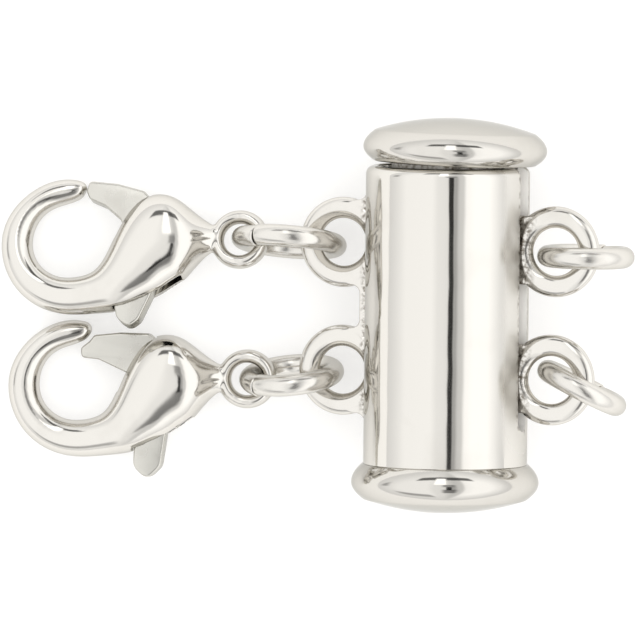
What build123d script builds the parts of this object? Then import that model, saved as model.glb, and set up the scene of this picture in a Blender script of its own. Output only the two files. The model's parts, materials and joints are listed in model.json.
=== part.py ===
"""Two-strand slide-lock clasp with its jump rings and lobster claws, lying on a surface.

Millimetres. The barrel lies along Y, the claws are on its -X side and the strand rings on its +X
side. Z = 0 is the surface that everything rests on.
"""

from build123d import *
import math
import os

os.makedirs("parts", exist_ok=True)

# Barrel: the outer tube, its closed bottom end and its slot
tube_radius = 3.2
tube_wall = 0.45
tube_length = 11.81
tube_edge_round = 0.33
barrel_floor = 0.35
slot_width = 0.9
slot_depth = 10.29

# Caps: one domed shape, a little smaller on the slide
barrel_cap_radius = 3.665
slide_cap_radius = 3.59
cap_height = 1.74
cap_waist_height = 0.55
cap_rim_height = 1.22
cap_seat_inset = 0.42
cap_shoulder_inset = 0.47

# Slide: the inner tube, loose enough to lie crooked in the bore
slide_clearance = 0.3
slide_wall = 0.45
slide_length = 10.95
slide_crook = 1.6
slide_shift = 0.088
cap_gap = 0.03

# Loops: two on the barrel, two on the slide, one for each strand
strand_pitch = 5.0
loop_hole_radius = 0.93
loop_band = 0.84
loop_thickness = 0.62
loop_plane_height = 0.15
barrel_loop_offset = 0.99
barrel_loop_middle = 0.33
slide_loop_offset = 1.11
slide_loop_middle = 0.288
web_thickness = 0.46
web_round = 0.2
web_fillet = 0.42
web_reach = 0.27
neck_width = 2.66
neck_thickness = 0.52

# Jump rings: round wire, closed to a fine butt joint
ring_wire = 0.83
ring_joint_angle = 1.5
upper_ring_diameter = 4.52
lower_ring_diameter = 4.12
hanging_ring_diameter = 3.8
hanging_gap = 0.08

# Claws: hook, bulb and eyelet in one casting, in a frame with its origin in the hook's middle
claw_reach = 6.6
claw_eyelet_rise = 0.16
hook_radius = 2.2
hook_band = 1.25
hook_thickness = 1.3
bulb_height = 3.6
bulb_thickness = 2.8
eyelet_hole_radius = 0.63
eyelet_band = 0.53
eyelet_thickness = 0.86

# Triggers: gate and thumb tab in one plate, on a pin across the bulb
pivot_x = 3.5
pivot_y = 0.5
gate_reach = 3.42
tab_reach = 4.11
trigger_thickness = 0.95
trigger_round = 0.1
trigger_clearance = 0.06
trigger_swing = 25.0
pin_radius = 0.35
pin_length = 2.1
pin_clearance = 0.02
lever_clearance = 0.04
swing_steps = 6

# How the clasp lies: the right-hand loops are rolled up from the surface
clasp_roll = 18.0

# Hook sections from the tip: angle round the hook's middle in degrees, then the middle of the
# band, its width and its thickness as shares of hook_radius, hook_band and hook_thickness
HOOK_SECTIONS = [
    # angle, middle, width, thickness
    (77, 0.950, 0.44, 0.62),
    (92, 0.905, 0.74, 0.78),
    (112, 0.914, 0.83, 0.86),
    (135, 0.941, 0.82, 0.92),
    (158, 0.975, 0.92, 0.97),
    (180, 1.004, 0.99, 1.00),
    (202, 1.014, 1.00, 1.03),
    (223, 1.018, 1.06, 1.08),
    (246, 1.012, 1.11, 1.16),
    (269, 0.995, 1.17, 1.28),
    (291, 1.016, 1.25, 1.46),
]

# Bulb sections from the hook to the eyelet: place along and across as shares of claw_reach, the
# way the section faces in degrees, its height and thickness as shares of bulb_height and
# bulb_thickness
BULB_SECTIONS = [
    # along, across, facing, height, thickness
    (0.241, -0.292, 39, 0.555, 0.80),
    (0.324, -0.219, 41, 0.653, 0.89),
    (0.402, -0.119, 35, 0.836, 0.97),
    (0.479, 0.002, 25, 1.000, 1.00),
    (0.558, 0.042, 18, 1.020, 0.97),
    (0.650, 0.048, 14, 0.845, 0.87),
    (0.722, 0.040, 12, 0.620, 0.70),
    (0.795, 0.036, 8, 0.390, 0.47),
    (0.860, 0.030, 4, 0.250, 0.31),
]

# Trigger outlines from the pivot: the gate's points as shares of gate_reach, the tab's points as
# shares of tab_reach. The upper gate meets the hook's tip end to end, the lower one inside it.
GATE_POINTS = {
    # along, across
    "upper": [
        (-0.410, -0.020),
        (-0.475, 0.107),
        (-0.651, 0.253),
        (-0.833, 0.328),
        (-0.871, 0.415),
        (-0.842, 0.535),
        (-0.510, 0.506),
        (-0.202, 0.427),
        (-0.058, 0.278),
        (0.132, 0.102),
    ],
    "lower": [
        (-0.453, -0.044),
        (-0.795, 0.117),
        (-0.994, 0.140),
        (-1.000, 0.250),
        (-0.900, 0.325),
        (-0.842, 0.398),
        (-0.538, 0.427),
        (-0.219, 0.418),
        (-0.058, 0.278),
        (0.132, 0.102),
    ],
}
TAB_POINTS = {
    # along, across
    "upper": [
        (0.073, -0.243),
        (-0.063, -0.645),
        (-0.170, -0.887),
        (-0.268, -0.960),
        (-0.385, -0.882),
        (-0.420, -0.747),
        (-0.290, -0.243),
    ],
    "lower": [
        (0.061, -0.268),
        (-0.012, -0.608),
        (-0.073, -0.876),
        (-0.200, -1.000),
        (-0.326, -0.876),
        (-0.316, -0.681),
        (-0.255, -0.243),
    ],
}

# Rings that stand on the surface between loop and claw: outer diameter, place of the middle as
# seen from the loop's middle in shares of that diameter, lean and yaw in degrees
STANDING_RINGS = {
    # name: diameter, along, across, lean, yaw
    "upper": (upper_ring_diameter, -0.4732, -0.0066, 10.5, -4.4),
    "lower": (lower_ring_diameter, -0.4827, -0.0655, -10.0, 6.2),
}

# Claws as they lie: place of the eyelet's middle as seen from the ring's middle in shares of the
# ring's diameter, then roll, pitch and yaw in degrees
CLAW_POSES = {
    # name: along, across, roll, pitch, yaw
    "upper": (-0.4245, 0.0105, 14.0, 8.0, 0.2),
    "lower": (-0.4196, -0.0434, 4.0, 6.0, 0.8),
}

# Rings that hang from the slide's loops: place of the middle as seen from the loop's middle in
# shares of the ring's diameter, and yaw in degrees
HANGING_RINGS = {
    # name: along, across, yaw
    "upper": (0.3074, -0.051, -0.5),
    "lower": (0.3178, -0.0830, -26.5),
}

# Derived sizes
bore_radius = tube_radius - tube_wall
tube_top = tube_length / 2
tube_bottom = -tube_length / 2
slide_radius = bore_radius - slide_clearance
loop_ring_radius = loop_hole_radius + loop_band / 2
barrel_loop_reach = tube_radius + barrel_loop_offset
slide_loop_reach = tube_radius + slide_loop_offset
web_edge = loop_ring_radius + loop_band / 2 - web_round / 2
web_half_length = strand_pitch / 2 + web_edge + 2 * web_fillet
eyelet_ring_radius = eyelet_hole_radius + eyelet_band / 2
cap_seat = tube_top + cap_gap + tube_radius * math.tan(math.radians(slide_crook))


def cap_section(radius):
    """Half section of a domed cap that stands on Y = 0, for a turn round the Y axis."""
    seat = radius - cap_seat_inset
    shoulder = radius - cap_shoulder_inset
    rise = cap_height - cap_rim_height
    dome_radius = (shoulder**2 + rise**2) / (2 * rise)
    with BuildSketch() as section:
        with BuildLine():
            Line((0, 0), (seat, 0))
            ThreePointArc((seat, 0), (radius, cap_waist_height), (shoulder, cap_rim_height))
            RadiusArc((shoulder, cap_rim_height), (0, cap_height), -dome_radius)
            Line((0, cap_height), (0, 0))
        make_face()
    return section.sketch


def loop_rows(middle):
    """Places along Y of the upper and the lower loop of a side."""
    return {"upper": middle + strand_pitch / 2, "lower": middle - strand_pitch / 2}


def make_barrel():
    """Outer tube with its bottom cap and left loops, about the Y axis and before any roll."""
    rows = loop_rows(barrel_loop_middle)
    with BuildPart() as web:
        with BuildSketch(Plane.XY.offset(loop_plane_height - web_thickness / 2)):
            with Locations((-bore_radius, barrel_loop_middle)):
                Rectangle(2 * (tube_radius - bore_radius), 2 * web_half_length)
            with Locations((-bore_radius, barrel_loop_middle)):
                Rectangle(2 * (tube_radius - bore_radius + web_reach), strand_pitch)
            for y in rows.values():
                with Locations((-barrel_loop_reach, y)):
                    Circle(web_edge)
                with Locations(((-barrel_loop_reach - bore_radius) / 2, y)):
                    Rectangle(barrel_loop_reach - bore_radius, 2 * web_edge)
            outer = [v for v in vertices() if -barrel_loop_reach < v.X < web_reach / 2 - tube_radius]
            inner_half = web_half_length - web_fillet / 2
            fillet([v for v in outer if abs(v.Y - barrel_loop_middle) < inner_half], web_fillet)
        extrude(amount=web_thickness)
        fillet(edges().filter_by(GeomType.CIRCLE), web_round)
    with BuildPart() as barrel:
        with BuildSketch():
            with Locations((tube_radius / 2, 0)):
                Rectangle(tube_radius, tube_length)
            top_corner = vertices().sort_by(Axis.Y)[-2:].sort_by(Axis.X)[-1]
            fillet(top_corner, tube_edge_round)
        revolve(axis=Axis.Y)
        with BuildSketch(Plane((0, tube_bottom, 0), x_dir=(1, 0, 0), z_dir=(0, 0, -1))):
            add(cap_section(barrel_cap_radius))
        revolve(axis=Axis.Y)
        add(web.part)
        for y in rows.values():
            middle = (-barrel_loop_reach, y, loop_plane_height)
            with BuildSketch(Plane(middle, x_dir=(1, 0, 0), z_dir=(0, -1, 0))):
                with Locations((-loop_ring_radius, 0)):
                    Ellipse(loop_band / 2, loop_thickness / 2)
            revolve(axis=Axis(middle, (0, 0, 1)))
            with BuildSketch(Plane(middle)):
                Circle(loop_hole_radius)
            extrude(amount=loop_thickness, both=True, mode=Mode.SUBTRACT)
        with BuildSketch(Plane.XZ.offset(-tube_top)):
            Circle(bore_radius)
        extrude(amount=tube_length - barrel_floor, mode=Mode.SUBTRACT)
        with BuildSketch(Plane.YZ.offset(bore_radius / 2)):
            with BuildLine():
                low = loop_plane_height - slot_width / 2
                high = loop_plane_height + slot_width / 2
                end = tube_top - slot_depth
                arc_start = end + slot_width / 2
                Line((tube_top, low), (arc_start, low))
                ThreePointArc((arc_start, low), (end, loop_plane_height), (arc_start, high))
                Polyline((arc_start, high), (tube_top, high), (tube_top, low))
            make_face()
        extrude(amount=tube_radius, mode=Mode.SUBTRACT)
    return barrel.part


def make_slide():
    """Inner tube with its top cap and right loops, about the Y axis and before any roll."""
    with BuildPart() as slide:
        with BuildSketch(Plane.XZ.offset(-cap_seat)):
            Circle(slide_radius)
            Circle(slide_radius - slide_wall, mode=Mode.SUBTRACT)
        extrude(amount=slide_length)
        with BuildSketch(Plane((0, cap_seat, 0))):
            add(cap_section(slide_cap_radius))
        revolve(axis=Axis.Y)
        for y in loop_rows(slide_loop_middle).values():
            middle = (slide_loop_reach, y, loop_plane_height)
            with BuildSketch(Plane(middle, x_dir=(1, 0, 0), z_dir=(0, -1, 0))):
                with Locations((-loop_ring_radius, 0)):
                    Ellipse(loop_band / 2, loop_thickness / 2)
            revolve(axis=Axis(middle, (0, 0, 1)))
            root = slide_radius - slide_wall / 2
            neck_end = slide_loop_reach - loop_ring_radius / 2
            with BuildSketch(Plane((0, y, loop_plane_height))):
                with Locations(((root + neck_end) / 2, 0)):
                    Rectangle(neck_end - root, neck_width)
                with Locations((slide_loop_reach, 0)):
                    Circle(loop_ring_radius, mode=Mode.SUBTRACT)
            extrude(amount=neck_thickness / 2, both=True)
    return slide.part


def make_ring(diameter):
    """Closed jump ring that stands in the XZ plane, with its butt joint at the bottom."""
    middle = (diameter - ring_wire) / 2
    with BuildPart() as ring:
        with BuildSketch(Plane.XY):
            with Locations((middle, 0)):
                Circle(ring_wire / 2)
        revolve(axis=Axis.Y, revolution_arc=360 - ring_joint_angle)
    turn = 90 - ring_joint_angle / 2
    return ring.part.rotate(Axis.Y, turn)


def trigger_outline(name):
    """Flat outline of the trigger about its pivot."""
    gate = [(gate_reach * x, gate_reach * y) for x, y in GATE_POINTS[name]]
    tab = [(tab_reach * x, tab_reach * y) for x, y in TAB_POINTS[name]]
    with BuildSketch() as outline:
        with BuildLine():
            Polyline(*gate, *tab[:3])
            ThreePointArc(*tab[2:5])
            Polyline(*tab[4:], gate[0])
        make_face()
        fillet(vertices(), trigger_round)
    return outline.sketch


def make_claw(name):
    """Claw body in its own frame, with the pocket for its trigger and the bore for its pin."""
    pivot = (pivot_x, pivot_y, 0)
    with BuildPart() as claw:
        for angle, middle, width, thickness in HOOK_SECTIONS:
            outward = Vector(1, 0, 0).rotate(Axis.Z, angle)
            forward = outward.rotate(Axis.Z, 90)
            with BuildSketch(Plane(outward * hook_radius * middle, x_dir=outward, z_dir=forward)):
                Ellipse(hook_band * width / 2, hook_thickness * thickness / 2)
        for along, across, facing, height, thickness in BULB_SECTIONS:
            forward = Vector(1, 0, 0).rotate(Axis.Z, facing)
            outward = forward.rotate(Axis.Z, -90)
            place = (claw_reach * along, claw_reach * across, 0)
            with BuildSketch(Plane(place, x_dir=outward, z_dir=forward)):
                Ellipse(bulb_height * height / 2, bulb_thickness * thickness / 2)
        loft()
        eyelet = (claw_reach, claw_eyelet_rise, 0)
        with BuildSketch(Plane(eyelet, x_dir=(1, 0, 0), z_dir=(0, -1, 0))):
            with Locations((eyelet_ring_radius, 0)):
                Ellipse(eyelet_band / 2, eyelet_thickness / 2)
        revolve(axis=Axis(eyelet, (0, 0, 1)))
        with BuildSketch(Plane(eyelet)):
            Circle(eyelet_hole_radius)
        extrude(amount=bulb_thickness, both=True, mode=Mode.SUBTRACT)
        with BuildSketch(Plane(pivot)):
            for step in range(swing_steps + 1):
                add(trigger_outline(name).rotate(Axis.Z, trigger_swing * step / swing_steps))
            offset(amount=trigger_clearance)
        extrude(amount=trigger_thickness / 2 + trigger_clearance, both=True, mode=Mode.SUBTRACT)
        with BuildSketch(Plane(pivot)):
            Circle(pin_radius + pin_clearance)
        extrude(amount=pin_length / 2 + pin_clearance, both=True, mode=Mode.SUBTRACT)
    return claw.part


def make_trigger(name):
    """Gate and thumb tab in one plate, in the claw's frame, in its closed place."""
    pivot = (pivot_x, pivot_y, 0)
    with BuildPart() as trigger:
        with BuildSketch(Plane(pivot)):
            add(trigger_outline(name))
            Circle(pin_radius + lever_clearance, mode=Mode.SUBTRACT)
        extrude(amount=trigger_thickness / 2, both=True)
    return trigger.part


def make_rivet():
    """Pivot pin in the claw's frame."""
    with BuildPart() as rivet:
        with BuildSketch(Plane((pivot_x, pivot_y, 0))):
            Circle(pin_radius)
        extrude(amount=pin_length / 2, both=True)
    return rivet.part


def lying(x, y, z, roll, pitch, yaw):
    """Location of a claw: rolled about its length, tipped eyelet up and turned on the surface."""
    return Pos(x, y, z) * Rot(0, 0, yaw) * Rot(0, -pitch, 0) * Rot(-roll, 0, 0)


# Where each piece lies
clasp_place = Pos(0, 0, barrel_cap_radius) * Rot(0, -clasp_roll, 0)
slide_place = Pos(slide_shift, 0, barrel_cap_radius) * Rot(0, 0, -slide_crook) * Rot(0, -clasp_roll, 0)
placed = {
    "barrel": make_barrel().moved(clasp_place),
    "slide": make_slide().moved(slide_place),
}

ring_places = {}
for name, (diameter, along, across, lean, yaw) in STANDING_RINGS.items():
    row = loop_rows(barrel_loop_middle)[name]
    loop = (clasp_place * Pos(-barrel_loop_reach, row, loop_plane_height)).position
    height = (diameter - ring_wire) / 2 * math.cos(math.radians(lean)) + ring_wire / 2
    middle = Pos(loop.X + along * diameter, loop.Y + across * diameter, height)
    ring_places[name] = middle * Rot(0, 0, yaw) * Rot(-lean, 0, 0)
    placed["ring_claw_" + name] = make_ring(diameter).moved(ring_places[name])

band_end = slide_place * Pos(slide_loop_reach + loop_ring_radius, 0, loop_plane_height)
inner_top = band_end.position.Z + loop_thickness / 2 + hanging_gap
hanging_places = {}
for name, (along, across, yaw) in HANGING_RINGS.items():
    row = loop_rows(slide_loop_middle)[name]
    loop = (slide_place * Pos(slide_loop_reach, row, loop_plane_height)).position
    x = loop.X + along * hanging_ring_diameter
    y = loop.Y + across * hanging_ring_diameter
    hanging_places[name] = Pos(x, y, inner_top + ring_wire - hanging_ring_diameter / 2) * Rot(0, 0, yaw)
    placed["ring_strand_" + name] = make_ring(hanging_ring_diameter).moved(hanging_places[name])

rivet = make_rivet()
claw_places = {}
triggers = {}
for name, (along, across, roll, pitch, yaw) in CLAW_POSES.items():
    diameter = STANDING_RINGS[name][0]
    ring = ring_places[name].position
    turned = lying(0, 0, 0, roll, pitch, yaw)
    eyelet = (turned * Pos(claw_reach, claw_eyelet_rise, 0)).position
    x = ring.X + along * diameter - eyelet.X
    y = ring.Y + across * diameter - eyelet.Y
    claw = make_claw(name)
    lift = -claw.moved(turned).bounding_box().min.Z
    claw_places[name] = lying(x, y, lift, roll, pitch, yaw)
    placed["claw_" + name] = claw.moved(claw_places[name])
    triggers[name] = make_trigger(name)
    placed["trigger_" + name] = triggers[name].moved(claw_places[name])
    placed["rivet_" + name] = rivet.moved(claw_places[name])

# The origin is the middle of the surface that the whole clasp covers
whole = Compound(list(placed.values())).bounding_box()
to_origin = Pos(-whole.center().X, -whole.center().Y, -whole.min.Z)
for name, piece in placed.items():
    node = piece.moved(to_origin)
    node.label = name
    export_step(node, f"parts/{name}.step")
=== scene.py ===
# %% [markdown]
# # Two-strand slide clasp, dressed for its picture
#
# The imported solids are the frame. This lesson gives them a polished silver-plated finish, sets the
# camera where the photograph was taken from, and builds the light tent that a polished piece needs.
# A mirror has almost no colour of its own, so most of the look is what stands round it.

# %% Load the frame
import json
import math

import bmesh
import bpy
import numpy as np
from mathutils import Matrix, Vector


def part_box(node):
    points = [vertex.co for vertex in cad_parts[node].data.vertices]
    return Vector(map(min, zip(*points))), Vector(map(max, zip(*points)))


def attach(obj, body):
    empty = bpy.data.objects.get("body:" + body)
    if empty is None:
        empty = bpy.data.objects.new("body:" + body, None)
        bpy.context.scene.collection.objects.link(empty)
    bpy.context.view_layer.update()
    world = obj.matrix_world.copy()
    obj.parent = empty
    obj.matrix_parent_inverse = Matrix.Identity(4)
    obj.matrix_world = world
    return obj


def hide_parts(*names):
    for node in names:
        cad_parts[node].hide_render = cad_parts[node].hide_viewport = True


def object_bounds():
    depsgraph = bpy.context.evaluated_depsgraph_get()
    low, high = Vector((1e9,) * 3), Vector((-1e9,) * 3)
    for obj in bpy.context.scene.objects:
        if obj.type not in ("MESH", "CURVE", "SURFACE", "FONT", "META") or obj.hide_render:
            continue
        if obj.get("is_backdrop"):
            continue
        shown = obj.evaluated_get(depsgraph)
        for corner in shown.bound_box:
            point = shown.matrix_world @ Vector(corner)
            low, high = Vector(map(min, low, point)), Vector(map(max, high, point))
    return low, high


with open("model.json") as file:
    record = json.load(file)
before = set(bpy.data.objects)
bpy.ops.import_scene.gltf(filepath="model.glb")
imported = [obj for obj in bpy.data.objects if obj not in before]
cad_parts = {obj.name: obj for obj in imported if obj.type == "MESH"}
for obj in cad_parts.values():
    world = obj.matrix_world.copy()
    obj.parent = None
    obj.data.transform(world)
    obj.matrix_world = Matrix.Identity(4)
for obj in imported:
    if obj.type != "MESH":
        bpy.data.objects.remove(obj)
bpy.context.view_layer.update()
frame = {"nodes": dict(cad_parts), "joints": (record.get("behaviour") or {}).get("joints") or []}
MM = 0.001

# %% [markdown]
# ## Camera
#
# Jewellery is photographed from far away with a long lens, so that round parts keep their shape.
# The barrel's joint with its bottom cap looks bowed by a few pixels, which says that the camera
# stood about 3.5 degrees off the vertical, towards the slide's cap. The camera is put there.

# %% Place the camera
PICTURE_WIDTH = 24.756 * MM
CAMERA_DISTANCE = 600 * MM
CAMERA_LEAN = math.radians(3.5)
CAMERA_ROLL = math.radians(0.58)
CAP_RADIUS = 3.667 * MM
TUBE_TOP = 5.905 * MM
barrel_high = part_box("barrel")[1]
barrel_middle = Vector((barrel_high[0] - CAP_RADIUS, barrel_high[1] - TUBE_TOP, CAP_RADIUS))
PICTURE_MIDDLE = Vector((-5.03 * MM, -0.07 * MM, 0))
TARGET = barrel_middle + PICTURE_MIDDLE

camera_data = bpy.data.cameras.new("long_lens")
camera_data.sensor_width = 36.0
camera_data.lens = camera_data.sensor_width * CAMERA_DISTANCE / PICTURE_WIDTH
camera_data.clip_start = CAMERA_DISTANCE / 10
camera_data.clip_end = CAMERA_DISTANCE * 10
camera = bpy.data.objects.new("camera", camera_data)
bpy.context.scene.collection.objects.link(camera)
turn = Matrix.Rotation(-CAMERA_LEAN, 4, "X") @ Matrix.Rotation(CAMERA_ROLL, 4, "Z")
camera.matrix_world = Matrix.Translation(TARGET) @ turn @ Matrix.Translation((0, 0, CAMERA_DISTANCE))
bpy.context.scene.camera = camera
bpy.context.scene.view_settings.view_transform = "Standard"
print("Camera at", [round(v / MM, 1) for v in camera.matrix_world.translation], "mm")

# %% [markdown]
# ## Table and light tent
#
# The clasp lies on a plain white table that is also lit a little from below, which is how a picture
# gets almost no shadows. Round it stands a light tent: white cloth lit from outside, with a dark slit
# overhead where the lens looks in. The tent is painted on the world by direction, because that is all
# that a small polished piece sees of it. A roof light that reflections don't see lights the table.

# %% Helpers for colours and nodes


def linear(hex_code):
    """sRGB hex to the linear colour that shaders work in."""
    channels = [int(hex_code[i : i + 2], 16) / 255 for i in (1, 3, 5)]
    return tuple(c / 12.92 if c <= 0.04045 else ((c + 0.055) / 1.055) ** 2.4 for c in channels) + (1.0,)


def add(tree, kind, settings=None, **links):
    """Adds a node, sets its properties, and sets or links its sockets by name."""
    node = tree.nodes.new(kind)
    for name, value in (settings or {}).items():
        setattr(node, name, value)
    for name, value in links.items():
        socket = node.inputs[int(name[1:])] if name[1:].isdigit() else node.inputs[name.replace("_", " ")]
        if isinstance(value, bpy.types.NodeSocket):
            tree.links.new(value, socket)
        else:
            socket.default_value = value
    return node


# %% Table
TABLE_HALF = 0.4
TABLE_GLOW = 0.5
TABLE_ROUGHNESS = 0.9
WHITE = linear("#FFFFFF")
floor_mesh = bpy.data.meshes.new("floor")
table_corners = [(-1, -1), (1, -1), (1, 1), (-1, 1)]
floor_mesh.from_pydata([(TABLE_HALF * x, TABLE_HALF * y, 0) for x, y in table_corners], [], [(0, 1, 2, 3)])
floor = bpy.data.objects.new("floor", floor_mesh)
bpy.context.scene.collection.objects.link(floor)
floor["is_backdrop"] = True
table = bpy.data.materials.new("lit_white_table")
table.use_nodes = True
table_shader = table.node_tree.nodes["Principled BSDF"]
table_shader.inputs["Base Color"].default_value = linear("#BFBEBC")
table_shader.inputs["Roughness"].default_value = TABLE_ROUGHNESS
table_shader.inputs["Emission Color"].default_value = WHITE
table_shader.inputs["Emission Strength"].default_value = TABLE_GLOW
floor_mesh.materials.append(table)
print("Table", 2 * TABLE_HALF, "m wide, glowing at", TABLE_GLOW)

# %% Roof light for the table alone
ROOF_SIZE = 0.5
ROOF_HEIGHT = 0.4
ROOF_POWER = 1.0
roof_data = bpy.data.lights.new("tent_roof", "AREA")
roof_data.size = ROOF_SIZE
roof_data.energy = ROOF_POWER
roof = bpy.data.objects.new("tent_roof", roof_data)
roof.location = TARGET + Vector((0, 0, ROOF_HEIGHT))
roof.visible_glossy = False
bpy.context.scene.collection.objects.link(roof)
print("Roof light of", ROOF_POWER, "W, unseen in reflections")

# %% Tent's directions
world = bpy.data.worlds.new("light_tent")
bpy.context.scene.world = world
world.use_nodes = True
tent = world.node_tree
tent.nodes.clear()
direction = add(tent, "ShaderNodeTexCoord").outputs["Generated"]
split = add(tent, "ShaderNodeSeparateXYZ", Vector=direction)
DEGREES = 180 / math.pi


def lean_angle(sideways):
    """Angle from overhead towards one side, in degrees."""
    lean = add(tent, "ShaderNodeMath", {"operation": "ARCTAN2"}, _0=sideways, _1=split.outputs["Z"])
    return add(tent, "ShaderNodeMath", {"operation": "MULTIPLY"}, _0=lean.outputs[0], _1=DEGREES).outputs[0]


across = lean_angle(split.outputs["X"])
along = lean_angle(split.outputs["Y"])


def band(value, low, high, soft):
    """One where value lies between low and high, with soft ends."""
    ends = []
    for outside, inside in ((low - soft, low + soft), (high + soft, high - soft)):
        end = add(tent, "ShaderNodeMapRange", {"interpolation_type": "SMOOTHSTEP"}, Value=value)
        end.inputs["From Min"].default_value = outside
        end.inputs["From Max"].default_value = inside
        ends.append(end.outputs[0])
    return add(tent, "ShaderNodeMath", {"operation": "MULTIPLY"}, _0=ends[0], _1=ends[1]).outputs[0]


def patch(x_low, x_high, y_low, y_high, soft, strength):
    """The strength inside a soft-edged patch of the tent, and nothing outside it."""
    wide, long = band(across, x_low, x_high, soft), band(along, y_low, y_high, soft)
    shape = add(tent, "ShaderNodeMath", {"operation": "MULTIPLY"}, _0=wide, _1=long).outputs[0]
    return add(tent, "ShaderNodeMath", {"operation": "MULTIPLY"}, _0=shape, _1=strength).outputs[0]


# %% Cloth, dark shapes and one bright box
# Brightness of the cloth by angle across, from the table on the left to the table on the right
CLOTH = [
    (-180, 1.00),
    (-100, 1.00),
    (-86, 1.05),
    (-64, 1.14),
    (-22, 1.16),
    (-14, 1.02),
    (-2, 0.98),
    (12, 0.72),
    (22, 0.80),
    (26, 1.24),
    (38, 1.34),
    (74, 1.33),
    (86, 1.12),
    (100, 1.03),
    (180, 1.00),
]
# The ramp's colours end at one, so they hold a share of the brightness and the level brings it back
RAMP_SHARE = 0.5
TENT_LEVEL = 2.26
# Dark shapes overhead: low and high across, low and high along, softness and darkness
SHADES = {
    "lens_slit": (1.5, 8.5, -16, 9, 1.2, 0.95),
    "slit_fringe": (7.5, 14, -16, 9, 3, 0.38),
    "near_hood": (-3, 13, 9, 24, 3, 0.6),
    "far_hood": (-3, 15, -42, -12, 4, 0.7),
    "far_gap": (-44, 44, 52, 66, 2.5, 0.85),
    "near_gap": (-70, -25, -75, -58, 5, 0.55),
    "left_gap": (-84, -74, 10, 60, 4, 0.5),
}
# A small soft box beyond the slide's cap, in front of the far gap, has the same columns, brightness last
SOFT_BOX = (-15, 2, 24, 60, 1.5, 1.8)
# Towards the table the cloth takes the table's own brightness
LOW_CLOTH = 0.97
LOW_HEIGHT = 0.5
sweep = add(tent, "ShaderNodeMapRange", Value=across, From_Min=-180.0, From_Max=180.0)
cloth = add(tent, "ShaderNodeValToRGB", Fac=sweep.outputs[0])
stops = cloth.color_ramp.elements
for angle, bright in CLOTH:
    stop = stops.new((angle + 180) / 360)
    stop.color = (bright * RAMP_SHARE, bright * RAMP_SHARE, bright * RAMP_SHARE, 1)
stops.remove(stops[0])
stops.remove(stops[-1])
lit_cloth = add(tent, "ShaderNodeMath", {"operation": "MULTIPLY"}, _0=cloth.outputs[0], _1=TENT_LEVEL)
low_share = add(tent, "ShaderNodeMapRange", Value=split.outputs["Z"])
low_share.inputs["From Max"].default_value = LOW_HEIGHT
low_share.inputs["To Min"].default_value = 1.0
low_share.inputs["To Max"].default_value = 0.0
blend = add(tent, "ShaderNodeMix", _0=low_share.outputs[0], _2=lit_cloth.outputs[0], _3=LOW_CLOTH)
total = blend.outputs[0]
for shade in SHADES.values():
    keep = add(tent, "ShaderNodeMath", {"operation": "SUBTRACT"}, _0=1.0, _1=patch(*shade)).outputs[0]
    total = add(tent, "ShaderNodeMath", {"operation": "MULTIPLY"}, _0=total, _1=keep).outputs[0]
total = add(tent, "ShaderNodeMath", {"operation": "MAXIMUM"}, _0=total, _1=patch(*SOFT_BOX)).outputs[0]
background = add(tent, "ShaderNodeBackground", Color=WHITE, Strength=total)
add(tent, "ShaderNodeOutputWorld", Surface=background.outputs[0])
print("Tent:", len(CLOTH), "stops of cloth and", len(SHADES), "dark shapes")

# %% [markdown]
# ## Silver plate
#
# The clasp is drawn, cast and stamped brass, soldered, plated with silver and polished. Silver
# reflects nearly all of the light and hardly tints it, so every finish is a slightly warm
# near-white metal. What differs is how each piece was made: the drawn tube is almost a perfect
# mirror with long slow waves, the caps and castings are a little softer, the wire and the stamped
# levers are duller, and the solder is dark and pitted. The same dark pits are painted as shade along
# the slot's edge, under the slide's cap and on the slide's necks in the slot, and the slot's walls
# are painted paler as painted light. Noise textures give the waves and the grain their real size,
# and the mesh itself says where solder, painted shade and rubbed places lie.

# %% Silvers
SILVER = linear("#D9D6D0")
WORN_SILVER = linear("#D0CDC7")
BORE_SILVER = linear("#C2BFB9")
# Painted light: the slot's walls are paler than the tube, where the tube's upper lip shades them
SLOT_WALL_PAINTED_LIGHT = linear("#F4F2EE")
STAMPED_SILVER = linear("#CBC9C2")
TARNISH = linear("#ABA59B")
# Dark colour of the solder, also painted as shade along the slot's edge, under the slide's cap and on the
# slide's necks in the slot
SOLDER_AND_SHADE_DARK = linear("#6A6256")
# Plated brass is less bright than pure silver at a glancing angle, which draws a grey outline
EDGE_TINT = linear("#D9D9D7")
print("Silver as linear colour:", [round(c, 2) for c in SILVER[:3]])

# %% Plate with waves and grain
# Noise values between which the polish dulls, and between which a thin tarnish comes in
DULL_LOW = 0.35
DULL_HIGH = 0.7
FILM_LOW = 0.55
FILM_HIGH = 0.85
FILM_MOST = 0.25
CLOUD_SHARE = 0.7


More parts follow.
